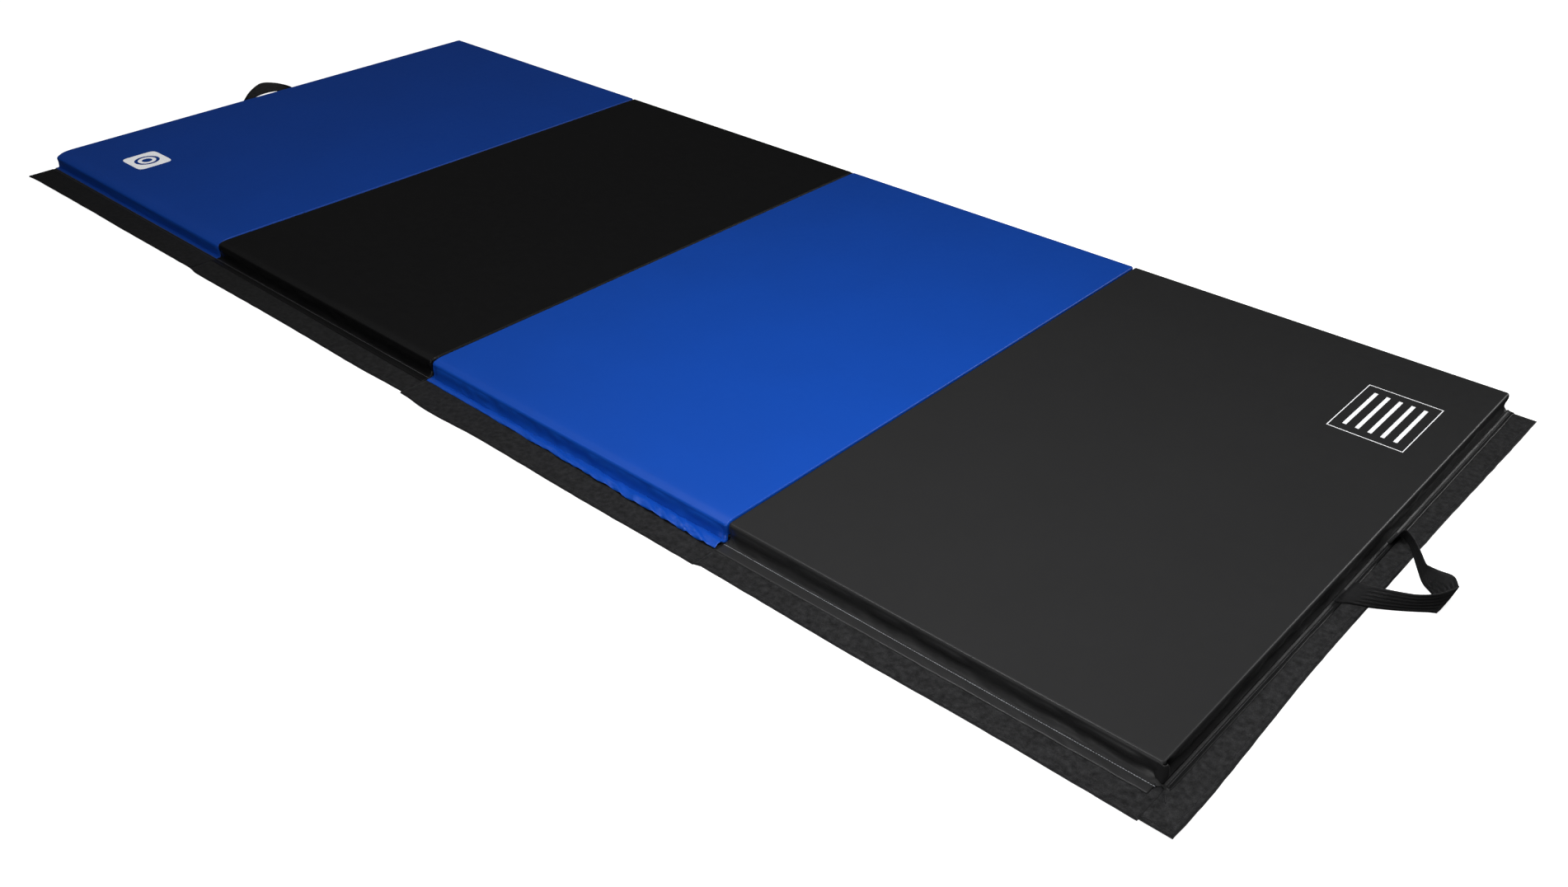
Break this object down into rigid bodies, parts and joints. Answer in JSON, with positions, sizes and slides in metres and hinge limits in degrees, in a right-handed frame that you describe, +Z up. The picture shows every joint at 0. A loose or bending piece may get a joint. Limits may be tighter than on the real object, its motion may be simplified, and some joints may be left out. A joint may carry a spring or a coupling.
{
  "type": "folding gym mat",
  "caption": "Folding gym mat of foam panels in blue and black vinyl covers, with accordion fold lines, fastening flaps and carrying handles.",
  "frame": {"origin": "on the floor, at the middle of the outline of the open mat with its flaps and handles", "axes": "+X along the open mat from the panel with the emblem to the panel with the end flap, +Y across it away from the side flap, +Z up"},
  "size_m": [3.3156, 1.2892, 0.0383],
  "materials": {
    "blue_vinyl": "satin",
    "black_vinyl": "satin",
    "foam": "matt closed-cell",
    "flap_cloth": "coated nylon",
    "loop_tape": "fuzzy loop pile",
    "hook_tape": "moulded hooks on woven tape",
    "hinge_tape": "coated tape",
    "webbing": "woven webbing",
    "white_ink": "matt print"
  },
  "bodies": {
    "panel_1": {"foam_core_1": "foam", "top_cover_1": "blue_vinyl", "bottom_cover_1": "black_vinyl", "hook_tape_1": "hook_tape", "side_skirt_1": "blue_vinyl", "hinge_tape_12_left": "hinge_tape", "end_hook_tape": "hook_tape", "handle_left_tacks": "webbing", "emblem_print": "white_ink"},
    "panel_2": {"foam_core_2": "foam", "top_cover_2": "black_vinyl", "bottom_cover_2": "black_vinyl", "hook_tape_2": "hook_tape", "side_skirt_2": "black_vinyl", "hinge_tape_12_right": "hinge_tape", "hinge_tape_23_left": "hinge_tape"},
    "panel_3": {"foam_core_3": "foam", "top_cover_3": "blue_vinyl", "bottom_cover_3": "black_vinyl", "hook_tape_3": "hook_tape", "side_skirt_3": "blue_vinyl", "hinge_tape_23_right": "hinge_tape", "hinge_tape_34_left": "hinge_tape"},
    "panel_4": {"foam_core_4": "foam", "top_cover_4": "black_vinyl", "bottom_cover_4": "black_vinyl", "hook_tape_4": "hook_tape", "side_skirt_4": "black_vinyl", "hinge_tape_34_right": "hinge_tape", "end_skirt": "black_vinyl", "handle_right_tacks": "webbing", "care_print": "white_ink"},
    "near_flap_1": {"side_flap_1": "flap_cloth", "side_loop_tape_1": "loop_tape"},
    "near_flap_2": {"side_flap_2": "flap_cloth", "side_loop_tape_2": "loop_tape"},
    "near_flap_3": {"side_flap_3": "flap_cloth", "side_loop_tape_3": "loop_tape"},
    "near_flap_4": {"side_flap_4": "flap_cloth", "side_loop_tape_4": "loop_tape"},
    "end_flap_length": {"end_flap": "flap_cloth", "end_loop_tape": "loop_tape"},
    "handle_left_loop": {"handle_left": "webbing"},
    "handle_right_loop": {"handle_right": "webbing"}
  },
  "joints": [
    {"name": "fold_12", "type": "hinge", "parent": "panel_2", "child": "panel_1", "pos_m": [-0.762, 0.035, -0.0003], "axis": [0, -1, 0], "range_deg": [0, 180]},
    {"name": "fold_23", "type": "hinge", "parent": "panel_2", "child": "panel_3", "pos_m": [0, 0.035, 0.0384], "axis": [0, -1, 0], "range_deg": [0, 180]},
    {"name": "fold_34", "type": "hinge", "parent": "panel_3", "child": "panel_4", "pos_m": [0.762, 0.035, -0.0003], "axis": [0, 1, 0], "range_deg": [0, 180]},
    {"name": "near_flap_1_bend", "type": "hinge", "parent": "panel_1", "child": "near_flap_1", "pos_m": [-1.143, -0.5856, -0.0003], "axis": [-1, 0, 0], "range_deg": [-180, 35]},
    {"name": "near_flap_2_bend", "type": "hinge", "parent": "panel_2", "child": "near_flap_2", "pos_m": [-0.381, -0.5856, -0.0003], "axis": [-1, 0, 0], "range_deg": [-180, 35]},
    {"name": "near_flap_3_bend", "type": "hinge", "parent": "panel_3", "child": "near_flap_3", "pos_m": [0.381, -0.5856, -0.0003], "axis": [-1, 0, 0], "range_deg": [-180, 35]},
    {"name": "near_flap_4_bend", "type": "hinge", "parent": "panel_4", "child": "near_flap_4", "pos_m": [1.143, -0.5856, -0.0003], "axis": [-1, 0, 0], "range_deg": [-180, 35]},
    {"name": "end_flap_bend", "type": "hinge", "parent": "panel_4", "child": "end_flap_length", "pos_m": [1.535, 0.035, -0.0013], "axis": [0, -1, 0], "range_deg": [-180, 0]},
    {"name": "handle_left_swing", "type": "hinge", "parent": "panel_1", "child": "handle_left_loop", "pos_m": [-1.5313, 0.035, 0.0023], "axis": [0, 1, 0], "range_deg": [-90, 38]},
    {"name": "handle_right_swing", "type": "hinge", "parent": "panel_4", "child": "handle_right_loop", "pos_m": [1.5313, 0.035, 0.0023], "axis": [0, -1, 0], "range_deg": [0, 38]}
  ],
  "couplings": [
    {"joint": "near_flap_1_bend", "follows": "near_flap_2_bend", "ratio": 1},
    {"joint": "near_flap_4_bend", "follows": "near_flap_3_bend", "ratio": 1}
  ]
}
